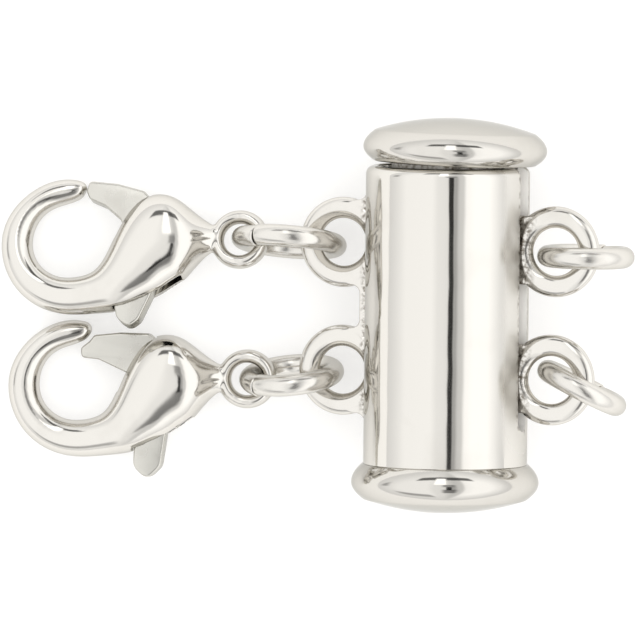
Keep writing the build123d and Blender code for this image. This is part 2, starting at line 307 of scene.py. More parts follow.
def plate(name, silver, metal, roughness, spread, wave, wave_size, grain, grain_size, stretch):
    """Silver plate with cloudy roughness, slow waves and fine polishing grain, sizes in millimetres."""
    material = bpy.data.materials.new(name)
    material.use_nodes = True
    tree = material.node_tree
    shader = tree.nodes["Principled BSDF"]
    shader.inputs["Metallic"].default_value = metal
    shader.inputs["Specular Tint"].default_value = EDGE_TINT
    place = add(tree, "ShaderNodeTexCoord").outputs["Object"]
    drawn = add(tree, "ShaderNodeMapping", Vector=place, Scale=(1, stretch, 1)).outputs["Vector"]
    cloud_scale = CLOUD_SHARE / (wave_size * MM)
    cloud = add(tree, "ShaderNodeTexNoise", Vector=place, Scale=cloud_scale, Detail=4.0).outputs[0]
    rough = add(tree, "ShaderNodeMapRange", Value=cloud, From_Min=DULL_LOW, From_Max=DULL_HIGH)
    rough.inputs["To Min"].default_value = roughness
    rough.inputs["To Max"].default_value = roughness + spread
    tree.links.new(rough.outputs[0], shader.inputs["Roughness"])
    film = add(tree, "ShaderNodeMapRange", Value=cloud, From_Min=FILM_LOW, From_Max=FILM_HIGH)
    film.inputs["To Max"].default_value = FILM_MOST
    tint = add(tree, "ShaderNodeMix", {"data_type": "RGBA"}, _0=film.outputs[0], _6=silver, _7=TARNISH)
    tree.links.new(tint.outputs[2], shader.inputs["Base Color"])
    slow = add(tree, "ShaderNodeTexNoise", Vector=place, Scale=1 / (wave_size * MM), Detail=1.0).outputs[0]
    fine = add(tree, "ShaderNodeTexNoise", Vector=drawn, Scale=1 / (grain_size * MM), Detail=3.0).outputs[0]
    waves = add(tree, "ShaderNodeBump", Height=slow, Distance=wave * MM, Strength=1.0).outputs[0]
    bumps = add(tree, "ShaderNodeBump", Height=fine, Distance=grain * MM, Strength=1.0, Normal=waves)
    tree.links.new(bumps.outputs[0], shader.inputs["Normal"])
    return material


# %% Rubbed places, and soldered places with painted shade
# Mark of the dark pitted solder, which is also painted shade in the gaps by the slot and under the slide's
# cap
SOLDER_AND_SHADE = "solder_and_shade"
RUBBED = "rubbed"
RUBBED_ROUGHNESS = 0.42
SOLDER_AND_SHADE_ROUGHNESS = 0.30
SPOT_LOW = 0.42
SPOT_HIGH = 0.66


def rubbed(material):
    """Dulls a finish where the mesh is marked as rubbed."""
    tree = material.node_tree
    shader = tree.nodes["Principled BSDF"]
    mask = add(tree, "ShaderNodeAttribute", {"attribute_name": RUBBED}).outputs["Fac"]
    before = shader.inputs["Roughness"].links[0].from_socket
    mix = add(tree, "ShaderNodeMix", _0=mask, _2=before, _3=RUBBED_ROUGHNESS).outputs[0]
    tree.links.new(mix, shader.inputs["Roughness"])


def add_solder_and_shade(material, pit_size, pit_depth):
    """Adds dark pitted solder, sizes in millimetres, where the mesh is marked, and the same dark pits as
    painted shade where the mark lies in the gaps by the slot and under the slide's cap.
    """
    tree = material.node_tree
    shader = tree.nodes["Principled BSDF"]
    colour, roughness, normal = (shader.inputs[name] for name in ("Base Color", "Roughness", "Normal"))
    mask = add(tree, "ShaderNodeAttribute", {"attribute_name": SOLDER_AND_SHADE}).outputs["Fac"]
    place = add(tree, "ShaderNodeTexCoord").outputs["Object"]
    pits = add(tree, "ShaderNodeTexNoise", Vector=place, Scale=1 / (pit_size * MM), Detail=5.0).outputs[0]
    spots = add(tree, "ShaderNodeMapRange", Value=pits, From_Min=SPOT_LOW, From_Max=SPOT_HIGH).outputs[0]
    amount = add(tree, "ShaderNodeMath", {"operation": "MULTIPLY"}, _0=mask, _1=spots).outputs[0]
    before = colour.links[0].from_socket
    mix = add(tree, "ShaderNodeMix", {"data_type": "RGBA"}, _0=amount, _6=before, _7=SOLDER_AND_SHADE_DARK)
    tree.links.new(mix.outputs[2], colour)
    before = roughness.links[0].from_socket
    mix = add(tree, "ShaderNodeMix", _0=amount, _2=before, _3=SOLDER_AND_SHADE_ROUGHNESS)
    tree.links.new(mix.outputs[0], roughness)
    before = normal.links[0].from_socket
    depth = add(tree, "ShaderNodeMath", {"operation": "MULTIPLY"}, _0=mask, _1=pits).outputs[0]
    bumps = add(tree, "ShaderNodeBump", Height=depth, Distance=pit_depth * MM, Strength=1.0, Normal=before)
    tree.links.new(bumps.outputs[0], normal)


# %% A finish for each way of making
# The bore and the filed slot are plated thinly over dull brass, so part of their light is scattered.
# The slot's walls are also painted paler than the tube, as painted light where the tube's upper lip shades
# them
BORE_METAL = 0.6
SLOT_METAL = 0.15
PLATINGS = {
    # finish: silver, metal share, roughness, its spread, wave height, wave length, grain height,
    # grain length in mm, and how far the grain is drawn out along Y
    # Drawn through a die and polished: sharp reflections that bend in long slow waves
    "drawn_tube": (SILVER, 1.0, 0.05, 0.04, 0.022, 2.2, 0.0002, 0.12, 0.2),
    # Spun over a form and handled most: a little greyer and softer
    "spun_cap": (WORN_SILVER, 1.0, 0.07, 0.05, 0.010, 1.5, 0.0002, 0.12, 1),
    # Cast and tumbled: clear reflections with soft edges
    "cast": (SILVER, 1.0, 0.08, 0.05, 0.008, 1.2, 0.0004, 0.10, 1),
    # Drawn wire, cut and bent: a satin shine
    "wire": (SILVER, 1.0, 0.18, 0.08, 0.009, 0.9, 0.0005, 0.08, 1),
    # Stamped from sheet: flat, grey and finely grained
    "stamped_lever": (STAMPED_SILVER, 1.0, 0.2, 0.1, 0.003, 0.7, 0.0015, 0.09, 1),
    # Hidden most of the time and never polished: a grey satin with no clear reflections
    "dull_bore": (BORE_SILVER, BORE_METAL, 0.35, 0.1, 0.002, 1.0, 0.001, 0.1, 1),
    # Filed by hand: matt, and painted pale as painted light where the tube's upper lip shades the walls
    "slot_wall_painted_light": (SLOT_WALL_PAINTED_LIGHT, SLOT_METAL, 0.35, 0.1, 0.002, 1.0, 0.001, 0.1, 1),
}
SOLDER_AND_SHADE_PITS = {
    # finish: size and depth of the pits of the solder and of the painted shade, in mm
    "drawn_tube": (0.22, 0.003),
    "cast": (0.16, 0.0006),
    "dull_bore": (0.20, 0.001),
}
FINISHES = {name: plate("silver_plate_" + name, *sizes) for name, sizes in PLATINGS.items()}
rubbed(FINISHES["drawn_tube"])
for name, (pit_size, pit_depth) in SOLDER_AND_SHADE_PITS.items():
    add_solder_and_shade(FINISHES[name], pit_size, pit_depth)
print("Finishes:", ", ".join(sorted(FINISHES)))

# %% [markdown]
# ## Mesh helpers
#
# The frame's solids are right in size but coarse for a mirror: every facet would show. Each piece
# that shows is therefore built again from the same sizes as a fine smooth mesh, in the solid's
# place, and stands for it. From here on sizes are in millimetres and angles in degrees, while places
# and finished points are in metres, as Blender has them.

# %% Pieces and skins


def new_piece(name, points, faces):
    """Object from points in metres in the shared frame, with its faces turned outwards."""
    mesh = bpy.data.meshes.new(name)
    mesh.from_pydata([tuple(p) for p in points], [], faces)
    piece = bpy.data.objects.new(name, mesh)
    bpy.context.scene.collection.objects.link(piece)
    shell = bmesh.new()
    shell.from_mesh(mesh)
    bmesh.ops.recalc_face_normals(shell, faces=shell.faces)
    shell.to_mesh(mesh)
    shell.free()
    return piece


def strip(name, rings, closed=False):
    """Skin over rings of points, each ring closed. Open strips get a flat face at each end."""
    rings = np.asarray(rings)
    count, size = rings.shape[:2]
    faces = []
    for row in range(count if closed else count - 1):
        a, b = row * size, (row + 1) % count * size
        faces += [(a + i, a + (i + 1) % size, b + (i + 1) % size, b + i) for i in range(size)]
    if not closed:
        faces += [tuple(range(size)), tuple(range((count - 1) * size, count * size))]
    return new_piece(name, rings.reshape(-1, 3), faces)


def placed(points, place):
    """Points in millimetres in a piece's own frame, as metres in the shared frame."""
    points = np.asarray(points, float)
    turn = np.array(place.to_3x3())
    return points @ turn.T * MM + np.array(place.translation)


# %% Cutting, melting and dressing


def bake(piece):
    """Applies the piece's modifiers."""
    graph = bpy.context.evaluated_depsgraph_get()
    mesh = bpy.data.meshes.new_from_object(piece.evaluated_get(graph))
    piece.modifiers.clear()
    piece.data = mesh
    mesh.name = piece.name
    return piece


def cut(piece, cutter, solver="EXACT"):
    """Takes the cutter's shape out of the piece."""
    knife = piece.modifiers.new("cut", "BOOLEAN")
    knife.operation = "DIFFERENCE"
    knife.solver = solver
    knife.object = cutter
    bake(piece)
    bpy.data.objects.remove(cutter)
    return piece


def fuse(name, pieces, voxel, passes):
    """Melts closed pieces into one skin, with its inner corners softened."""
    shell = bmesh.new()
    for piece in pieces:
        shell.from_mesh(piece.data)
        bpy.data.objects.remove(piece)
    mesh = bpy.data.meshes.new(name)
    shell.to_mesh(mesh)
    shell.free()
    fused = bpy.data.objects.new(name, mesh)
    bpy.context.scene.collection.objects.link(fused)
    remesh = fused.modifiers.new("melt", "REMESH")
    remesh.mode = "VOXEL"
    remesh.voxel_size = voxel * MM
    soften = fused.modifiers.new("soften", "SMOOTH")
    soften.factor = 0.5
    soften.iterations = passes
    return bake(fused)


def dress(piece, finish, body, node, sharp=40):
    """Gives a finished piece its material, its body and the solid that it stands for."""
    piece.data.materials.append(FINISHES[finish])
    piece.data.shade_smooth()
    piece.data.set_sharp_from_angle(angle=math.radians(sharp))
    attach(piece, body)
    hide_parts(node)
    print(piece.name, len(piece.data.polygons), "faces")
    return piece


# %% Outlines


def arc(middle, radius, start, end, count):
    """Points on an arc in a plane, angles in degrees."""
    turns = np.radians(np.linspace(start, end, count))
    return np.stack([middle[0] + radius * np.cos(turns), middle[1] + radius * np.sin(turns)], 1)


def ellipse(across, high, count, power=2.0):
    """Closed ellipse, or a fuller one where the power is above two."""
    turns = np.linspace(0, 2 * np.pi, count, endpoint=False)
    x, y = np.cos(turns), np.sin(turns)
    return np.stack(
        [across * np.sign(x) * abs(x) ** (2 / power), high * np.sign(y) * abs(y) ** (2 / power)], 1
    )


# A corner's round may take just under half of each side that meets there
SIDE_SHARE = 0.49


def rounded(corners, radius, steps=6):
    """Outline with each corner rounded as far as its sides allow."""
    corners = np.asarray(corners, float)
    outline = []
    radii = np.broadcast_to(radius, len(corners))
    for i, corner in enumerate(corners):
        before, after = corners[i - 1] - corner, corners[(i + 1) % len(corners)] - corner
        half = math.acos(np.clip(before @ after / np.hypot(*before) / np.hypot(*after), -1, 1)) / 2
        free = SIDE_SHARE * min(np.hypot(*before), np.hypot(*after))
        reach = min(radii[i] / math.tan(half), free)
        start = corner + before / np.hypot(*before) * reach
        end = corner + after / np.hypot(*after) * reach
        for t in np.linspace(0, 1, steps):
            outline.append((1 - t) ** 2 * start + 2 * t * (1 - t) * corner + t**2 * end)
    return np.array(outline)


# %% Plates, turned bodies and loops


def prism(name, outline, half, place):
    """Plate of an outline in the XY plane of a place, half its thickness to each side."""
    rings = [[(x, y, z) for x, y in outline] for z in (-half, half)]
    return strip(name, [placed(ring, place) for ring in rings])


def turned(name, profile, place, count=288, closed=False):
    """Body turned round the Y axis of a place from a profile of radius and height."""
    turns = np.linspace(0, 2 * np.pi, count, endpoint=False)
    rings = []
    for radius, y in profile:
        ring = np.stack([radius * np.cos(turns), np.full(count, y), radius * np.sin(turns)], 1)
        rings.append(placed(ring, place))
    return strip(name, rings, closed)


def loop(name, middle, radius, band, thickness, place, count=160, points=48):
    """Flat ring of oval section round the Z axis through its middle."""
    section = ellipse(band / 2, thickness / 2, points)
    rings = []
    for turn in np.linspace(0, 2 * np.pi, count, endpoint=False):
        ring = [
            (
                middle[0] + (radius + a) * math.cos(turn),
                middle[1] + (radius + a) * math.sin(turn),
                middle[2] + b,
            )
            for a, b in section
        ]
        rings.append(placed(ring, place))
    return strip(name, rings, closed=True)


def own_frame(origin, yaw=0, pitch=0, roll=0):
    """Frame at an origin in metres, rolled, then pitched, then turned, in degrees."""
    yawed = Matrix.Rotation(math.radians(yaw), 4, "Z")
    pitched = Matrix.Rotation(math.radians(-pitch), 4, "Y")
    rolled = Matrix.Rotation(math.radians(-roll), 4, "X")
    return Matrix.Translation(origin) @ (yawed @ pitched @ rolled)


# %% [markdown]
# ## Barrel
#
# A drawn tube with a rounded mouth and a slot along its right side, a domed cap soldered into its
# bottom end, and two cast loops on a web along its left side. A cylinder with a bevel would do from
# afar. Here the tube is turned from its half section, so that lip and mouth keep their true rounds,
# and the slot is cut out of it as it would be on the bench.

# %% Tube and slot
TUBE_RADIUS = 3.2
TUBE_WALL = 0.45
TUBE_LENGTH = 11.81
MOUTH_ROUND = 0.33
LIP_ROUND = 0.08
SLOT_WIDTH = 0.9
SLOT_DEPTH = 10.29
FLOOR_THICKNESS = 0.35
LOOP_HEIGHT = 0.15
CLASP_ROLL = 18.0
# A pinhole left on the axis of each turned body, and how far cutters reach past what they cut
PINHOLE = 0.02
REACH_PAST = 1
# Rows of the mesh along the wall, round the mouth, round the lip, along the bore and round the slot's end
WALL_ROWS = 70
MOUTH_ROWS = 12
LIP_ROWS = 5
BORE_ROWS = 12
SLOT_ROWS = 14
BORE = TUBE_RADIUS - TUBE_WALL
HALF = TUBE_LENGTH / 2
barrel_place = Matrix.Translation(barrel_middle) @ Matrix.Rotation(math.radians(-CLASP_ROLL), 4, "Y")

wall = [(TUBE_RADIUS, y) for y in np.linspace(-HALF, HALF - MOUTH_ROUND, WALL_ROWS)[:-1]]
mouth = list(arc((TUBE_RADIUS - MOUTH_ROUND, HALF - MOUTH_ROUND), MOUTH_ROUND, 0, 90, MOUTH_ROWS))
lip = list(arc((BORE + LIP_ROUND, HALF - LIP_ROUND), LIP_ROUND, 90, 180, LIP_ROWS))
inside = [(BORE, y) for y in np.linspace(HALF - LIP_ROUND, FLOOR_THICKNESS - HALF, BORE_ROWS)[1:]]
floor_rim = [(PINHOLE, FLOOR_THICKNESS - HALF), (PINHOLE, -HALF)]
tube = turned("barrel_tube", wall + mouth + lip + inside + floor_rim, barrel_place, closed=True)
slot_half = SLOT_WIDTH / 2
slot_end = HALF - SLOT_DEPTH + slot_half
slot_mouth = HALF + REACH_PAST
slot_outline = [(slot_mouth, LOOP_HEIGHT + slot_half), (slot_mouth, LOOP_HEIGHT - slot_half)]
slot_outline += list(arc((slot_end, LOOP_HEIGHT), slot_half, 270, 90, SLOT_ROWS))
ends = [[(x, y, z) for y, z in slot_outline] for x in (BORE / 2, TUBE_RADIUS + REACH_PAST)]
cut(tube, strip("slot_cutter", [placed(end, barrel_place) for end in ends]))
slot_foot = HALF + slot_end - slot_half
print("Slot", SLOT_WIDTH, "mm wide, ending", round(slot_foot, 2), "mm above the tube's foot")

# %% [markdown]
# ## Solder, painted shade and wear
#
# Solder leaves a thin, dark and rough line where parts meet, and the strand rings rub a dull strip
# beside the slot. The same dark pitted colour is painted as shade along the slot's edge, in the gap
# under the slide's cap and on the slide's necks where they pass through the slot. All of these could
# be painted by hand. Here each point of the mesh is marked by how near it lies to a seam or an edge,
# so that the marks stay in place when a size changes.

# %% Painted shade along the slot's edge, solder along the web, and a rubbed strip along the slot
HAZE_WIDTH = 0.4
SLOT_HAZE = 0.18
RUBBED_WIDTH = 1.3
# Marks above one, so that the middle of each line is full
WEB_FULL = 1.1
RUBBED_FULL = 1.6


def haze(piece, place, lines, name=SOLDER_AND_SHADE):
    """Marks how near each point lies to the given lines, each a test of its place in millimetres."""
    back = place.inverted()
    values = []
    for vertex in piece.data.vertices:
        local = (back @ vertex.co) / MM
        values.append(max(line(local) for line in lines))
    marks = np.clip(values, 0, 1)
    mask = piece.data.attributes.new(name, "FLOAT", "POINT")
    mask.data.foreach_set("value", marks)
    print(piece.name, np.count_nonzero(marks), "points marked as", name)


def from_slot(p):
    """Distance from the slot's middle line."""
    return math.hypot(max(slot_end - p.y, 0), p.z - LOOP_HEIGHT)


def by_slot(p):
    """One at the slot's edge, falling to nothing a narrow haze's width away."""
    return 0 if p.x < 0 else 1 - (from_slot(p) - slot_half) / SLOT_HAZE


def by_web(p):
    """One where the web meets the tube, falling to nothing about two haze widths away."""
    return 0 if p.x > 0 else WEB_FULL - abs(p.z - LOOP_HEIGHT) / (2 * HAZE_WIDTH)


def by_strip(p):
    """One along the slot, where the rings rub, falling to nothing about two millimetres away."""
    return 0 if p.x < 0 else RUBBED_FULL - from_slot(p) / RUBBED_WIDTH


# Painted shade with pits along the slot's edge, where the lip shades the gap, and solder where the web
# meets the tube
haze(tube, barrel_place, [by_slot, by_web])
haze(tube, barrel_place, [by_strip], RUBBED)
dress(tube, "drawn_tube", "barrel", "barrel")

# %% Filed walls of the slot, painted pale as painted light
# A face belongs to the slot's walls when it lies in the slot and below the tube's outer skin
SKIN = 0.02
tube.data.materials.append(FINISHES["slot_wall_painted_light"])
to_tube = barrel_place.inverted()
filed = 0
for face in tube.data.polygons:
    local = (to_tube @ face.center) / MM
    level = abs(local.z - LOOP_HEIGHT) < slot_half + SKIN / 2
    under_skin = math.hypot(local.x, local.z) < TUBE_RADIUS - SKIN
    if local.x > 0 and level and local.y > slot_end - slot_half and under_skin:
        face.material_index = 1
        filed += 1
print(filed, "faces filed")

# %% [markdown]
# ## Domed caps
#
# Each cap is a shell with a bulging rim over a narrow seat and a shallow dome on top. A flattened ball
# would miss the soft shoulder between them, where the reflections turn. So the half section is worked
# out from curves, and then turned.

# %% Cap's half section and the bottom cap
CAP_HEIGHT = 1.74
CAP_WAIST = 0.55
CAP_RIM = 1.22
SEAT_INSET = 0.42
SHOULDER_INSET = 0.47
CAP_ROWS = 30
DOME_ROWS = 40


def cap_profile(radius, sink=0.0):
    """Half section of a cap, sunk over the tube: seat, bulging rim, soft shoulder and shallow dome."""
    seat, shoulder, rise = radius - SEAT_INSET, radius - SHOULDER_INSET, CAP_HEIGHT - CAP_RIM
    waist = []
    for t in np.linspace(0, 1, CAP_ROWS):
        y = (CAP_RIM + sink) * t - sink
        low = (y - CAP_WAIST) / (CAP_WAIST + sink if y < CAP_WAIST else CAP_RIM - CAP_WAIST)
        inset = (SEAT_INSET if y < CAP_WAIST else SHOULDER_INSET) * low * low
        waist.append((radius - inset, y))
    dome_radius = (shoulder**2 + rise**2) / (2 * rise)
    dome = []
    for r in np.linspace(shoulder, 0, DOME_ROWS)[1:-1]:
        dome.append((r, CAP_HEIGHT - dome_radius + math.sqrt(dome_radius**2 - r**2)))
    return [(PINHOLE, -sink), (seat * 0.5, -sink)] + waist + dome + [(PINHOLE, CAP_HEIGHT)]


BARREL_CAP = 3.665
CAP_SINK = 0.17
flip = Matrix.Rotation(math.pi, 4, "Z")
bottom_place = barrel_place @ Matrix.Translation((0, -HALF * MM, 0)) @ flip
bottom_cap = turned("barrel_bottom_cap", cap_profile(BARREL_CAP, CAP_SINK), bottom_place)
dress(bottom_cap, "spun_cap", "barrel", "barrel", sharp=60)

# %% [markdown]
# ## Loops and web
#
# The left loops are cast with the web that carries them, and soldered on. Rings and a plate that only
# overlap would meet in a hard line. Melted into one skin of small even faces and softened, they get
# the rounded roots of a casting.

# %% Web with two loops
STRAND_PITCH = 5.0
LOOP_HOLE = 0.93
LOOP_BAND = 0.84
LOOP_THICKNESS = 0.62
LOOP_RADIUS = LOOP_HOLE + LOOP_BAND / 2
LOOP_STEPS = 72
BARREL_LOOP_OUT = 0.99
BARREL_LOOP_X = -(TUBE_RADIUS + BARREL_LOOP_OUT)
BARREL_LOOP_Y = 0.33
WEB_THICKNESS = 0.46
WEB_REACH = 0.27
WEB_FILLET = 0.5
# The web's tails run on along the tube, its root sits in the wall, and its edge lies under the rings
WEB_TAIL = 0.9
WEB_ROOT = 0.15
WEB_SINK = 0.02
WEB_SLOPE = 0.03
WEB_UNDER = 0.1
LOOP_VOXEL = 0.035
LOOP_SOFTENING = 14
web_edge = LOOP_RADIUS + LOOP_BAND / 2 - WEB_UNDER
half_pitch = STRAND_PITCH / 2
inner_x, tube_x, web_x = -BORE - WEB_ROOT, -TUBE_RADIUS + WEB_SINK, -TUBE_RADIUS - WEB_REACH
side = [
    (inner_x, half_pitch + web_edge + WEB_TAIL),
    (tube_x, half_pitch + web_edge + WEB_TAIL),
    (tube_x - WEB_SLOPE, half_pitch + web_edge),
    (BARREL_LOOP_X, half_pitch + web_edge),
    (BARREL_LOOP_X, half_pitch - web_edge),
    (web_x, half_pitch - web_edge),
]
outline = side + [(x, -y) for x, y in reversed(side)]
outline = [(x, y + BARREL_LOOP_Y) for x, y in rounded(outline, WEB_FILLET)]
loop_plane = barrel_place @ Matrix.Translation((0, 0, LOOP_HEIGHT * MM))
web = prism("web", outline, WEB_THICKNESS / 2, loop_plane)


def drilled(piece, x, y, place):
    """The piece with a hole as wide as the middle of a loop's band."""
    hole = arc((x, y), LOOP_RADIUS, 0, 360 - 360 / LOOP_STEPS, LOOP_STEPS)
    return cut(piece, prism("hole", hole, REACH_PAST, place))


loops = []
for y in (BARREL_LOOP_Y + half_pitch, BARREL_LOOP_Y - half_pitch):
    drilled(web, BARREL_LOOP_X, y, loop_plane)
    loops.append(loop("loop", (BARREL_LOOP_X, y, 0), LOOP_RADIUS, LOOP_BAND, LOOP_THICKNESS, loop_plane))
loops = fuse("barrel_loops", loops + [web], LOOP_VOXEL, LOOP_SOFTENING)


# The solder is full up to this far out from the tube
SEAM_OUT = 0.05


def by_tube_side(p):
    """One at the tube's left side, falling to nothing half a haze's width further out."""
    return 1 - (-TUBE_RADIUS - SEAM_OUT - p.x) / (HAZE_WIDTH / 2)


haze(loops, barrel_place, [by_tube_side])
dress(loops, "cast", "barrel", "barrel")

# %% [markdown]
# ## Slide
#
# A second tube inside the barrel, with its own domed cap and two loops on flat necks that reach
# through the slot. It sits a little crooked in the bore, as in the photograph. It is made with the
# barrel's helpers in a frame of its own, turned by that small angle, so all of it leans together.

# %% Slide's tube and cap
SLIDE_CLEARANCE = 0.3
SLIDE_RADIUS = BORE - SLIDE_CLEARANCE
SLIDE_WALL = 0.45
SLIDE_LENGTH = 10.95
SLIDE_CROOK = 1.6
SLIDE_SHIFT = 0.088
SLIDE_CAP = 3.59
# Painted shadow: a band of the slide's tube under its cap is darkened like solder, where the gap at the
# barrel's mouth lies in shade; the cap's solder seam lies there too
CAP_SEAM = 0.3
SEAM_FULL = 1.5
SLIDE_LOOP_OUT = 1.11
SLIDE_LOOP_X = TUBE_RADIUS + SLIDE_LOOP_OUT
SLIDE_LOOP_Y = 0.288
NECK_WIDTH = 2.66
NECK_THICKNESS = 0.52
NECK_ROUND = 0.05
NECK_SOFTENING = 10
CAP_GAP = 0.03
# Rows of the tube's mesh below the cap's seam and along it
TUBE_ROWS = 22
SEAM_ROWS = 6
slide_seat = HALF + CAP_GAP + TUBE_RADIUS * math.tan(math.radians(SLIDE_CROOK))
slide_place = Matrix.Translation(barrel_middle + Vector((SLIDE_SHIFT * MM, 0, 0)))
slide_place = slide_place @ Matrix.Rotation(math.radians(-SLIDE_CROOK), 4, "Z")
slide_place = slide_place @ Matrix.Rotation(math.radians(-CLASP_ROLL), 4, "Y")

heights = np.linspace(slide_seat - SLIDE_LENGTH, slide_seat - 2 * CAP_SEAM, TUBE_ROWS)
heights = np.append(heights, np.linspace(slide_seat - CAP_SEAM, slide_seat, SEAM_ROWS))
shell = [(SLIDE_RADIUS, y) for y in heights] + [(SLIDE_RADIUS - SLIDE_WALL, y) for y in heights[::-1]]
inner_tube = turned("slide_tube", shell, slide_place, closed=True)
cap_place = slide_place @ Matrix.Translation((0, slide_seat * MM, 0))


def by_cap(p):
    """One close under the cap, falling to nothing about half a millimetre below it."""
    return SEAM_FULL + p.y / CAP_SEAM


def by_slide_side(p):
    """One at the slot, falling to nothing a haze's width further out."""
    return 1 - (p.x - TUBE_RADIUS) / HAZE_WIDTH


# Painted shadow in the gap under the cap, over the cap's solder seam
haze(inner_tube, cap_place, [by_cap])
dress(inner_tube, "dull_bore", "slide", "slide")
dress(turned("slide_top_cap", cap_profile(SLIDE_CAP), cap_place), "spun_cap", "slide", "slide", sharp=60)

# %% Necks and loops of the slide
loop_plane = slide_place @ Matrix.Translation((0, 0, LOOP_HEIGHT * MM))
pieces = []
for y in (SLIDE_LOOP_Y + half_pitch, SLIDE_LOOP_Y - half_pitch):
    root = SLIDE_RADIUS - SLIDE_WALL / 2
    corners = [(root, y - NECK_WIDTH / 2), (SLIDE_LOOP_X, y - NECK_WIDTH / 2)]
    corners += [(SLIDE_LOOP_X, y + NECK_WIDTH / 2), (root, y + NECK_WIDTH / 2)]
    neck = prism("neck", rounded(corners, NECK_ROUND, 3), NECK_THICKNESS / 2, loop_plane)
    pieces.append(drilled(neck, SLIDE_LOOP_X, y, loop_plane))
    pieces.append(loop("loop", (SLIDE_LOOP_X, y, 0), LOOP_RADIUS, LOOP_BAND, LOOP_THICKNESS, loop_plane))
slide_loops = fuse("slide_loops", pieces, LOOP_VOXEL, NECK_SOFTENING)
# Painted shade: the necks are darkened where they pass through the slot, with solder at their roots
haze(slide_loops, slide_place, [by_slide_side])
dress(slide_loops, "cast", "slide", "slide")

# %% [markdown]
# ## Jump rings
#
# Round wire bent to a ring and closed to a fine butt joint, whose ends don't quite line up. A torus
# would have no joint. A circle carried round almost a whole turn has two real ends, and one of them
# is bent aside by a hair.

# %% Jump rings
WIRE = 0.83
JOINT_ANGLE = 1.5
JOINT_STEP = 0.06
JOINT_BEND = 50
# The last degree of each end is a little thinner, as if nipped, and the rows are close together there
END_SIZE = 0.93
END_TURN = 1
NEXT_TURN = 2.5
RING_ROWS = 200
WIRE_POINTS = 56
RINGS = {
    # name: body, diameter, lean, yaw, place of the joint round the ring in degrees
    "ring_claw_upper": ("barrel", 4.52, 10.5, -4.4, 131),
    "ring_claw_lower": ("barrel", 4.12, -10.0, 6.2, 141),
    "ring_strand_upper": ("slide", 3.8, 0, -0.5, -60),
    "ring_strand_lower": ("slide", 3.8, 0, -26.5, -60),
}
for name, (body, diameter, lean, yaw, joint_place) in RINGS.items():
    low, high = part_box(name)
    middle = own_frame((low + high) / 2, yaw, 0, lean)
    radius = (diameter - WIRE) / 2
    gap = JOINT_ANGLE / 2
    rings = []
    last = 360 - gap
    turns = np.linspace(gap + NEXT_TURN, last - NEXT_TURN, RING_ROWS)
    for turn in [gap, gap + END_TURN, *turns, last - END_TURN, last]:
        near = min(turn - gap, last - turn)
        half_wire = WIRE / 2 * (END_SIZE if near < END_TURN / 2 else 1)
        angle = math.radians(turn + joint_place)
        aside = JOINT_STEP * max(0, 1 - turn / JOINT_BEND) ** 2
        spoke = np.array((math.cos(angle), 0, math.sin(angle)))
        section = ellipse(half_wire, half_wire, WIRE_POINTS)
        ring = [(radius + a) * spoke + (0, b - aside, 0) for a, b in section]
        rings.append(placed(ring, middle))
    dress(strip(name + "_wire", rings), "wire", body, name)

# %% [markdown]
# ## Lobster claws
#
# Each claw is one casting: a tapering hook that swells into a flat-sided bulb, narrows to a neck
# and ends in an eyelet. A pocket through the bulb holds the sprung lever, whose nose closes the
# hook and whose tab is pressed by the thumb. Sculpting would give such a shape once. A skin over a
# table of oval sections gives it from sizes, and both claws share the table.

# %% Claw tables
CLAW_REACH = 6.6
EYELET_RISE = 0.16
HOOK_RADIUS = 2.2
HOOK_BAND = 1.25
HOOK_THICKNESS = 1.3
BULB_HEIGHT = 3.6
BULB_THICKNESS = 2.8
EYELET_HOLE = 0.63
EYELET_BAND = 0.53
EYELET_THICKNESS = 0.86
HOOK_SECTIONS = [
    # angle round the hook, then middle, width and thickness as shares of the hook's own sizes
    (77, 0.950, 0.44, 0.62),
    (92, 0.905, 0.74, 0.78),
    (112, 0.914, 0.83, 0.86),
    (135, 0.941, 0.82, 0.92),
    (158, 0.975, 0.92, 0.97),
    (180, 1.004, 0.99, 1.00),
    (202, 1.014, 1.00, 1.03),
    (223, 1.018, 1.06, 1.08),
    (246, 1.012, 1.11, 1.16),
    (269, 0.995, 1.17, 1.28),
    (291, 1.016, 1.25, 1.46),
]
BULB_SECTIONS = [
    # along and across as shares of the reach, angle that it faces, height and thickness as shares
    (0.241, -0.292, 39, 0.555, 0.80),
    (0.324, -0.219, 41, 0.653, 0.89),
    (0.402, -0.132, 37, 0.840, 0.96),
    (0.479, -0.034, 32, 0.945, 1.01),
    (0.558, 0.026, 24, 1.010, 1.03),
    (0.650, 0.052, 15, 0.850, 0.98),
    (0.722, 0.044, 12, 0.620, 0.78),
    (0.795, 0.036, 8, 0.390, 0.49),
    (0.860, 0.030, 4, 0.250, 0.31),
]
# The bulb's sections turn from ovals to fuller ones as their height grows from FULL_FROM by FULL_OVER
BULB_FULLNESS = 0.35
FULL_FROM = 0.35
FULL_OVER = 0.5
# Rows of skin from one section to the next, rounds of calming, and rows that round off the hook's tip
ROW_STEPS = 12
ROW_CALMING = 110
TIP_ROWS = 6
TIP_ROUNDING = 0.9
SKIN_POINTS = 72
PIVOT = (3.5, 0.5)
GATE_REACH = 3.42
TAB_REACH = 4.11
LEVER_THICKNESS = 0.95
LEVER_CLEARANCE = 0.06
LEVER_SWING = 25
GATE_ROUND = 0.2
TAB_ROUND = 0.55
POCKET_ROUND = 0.12
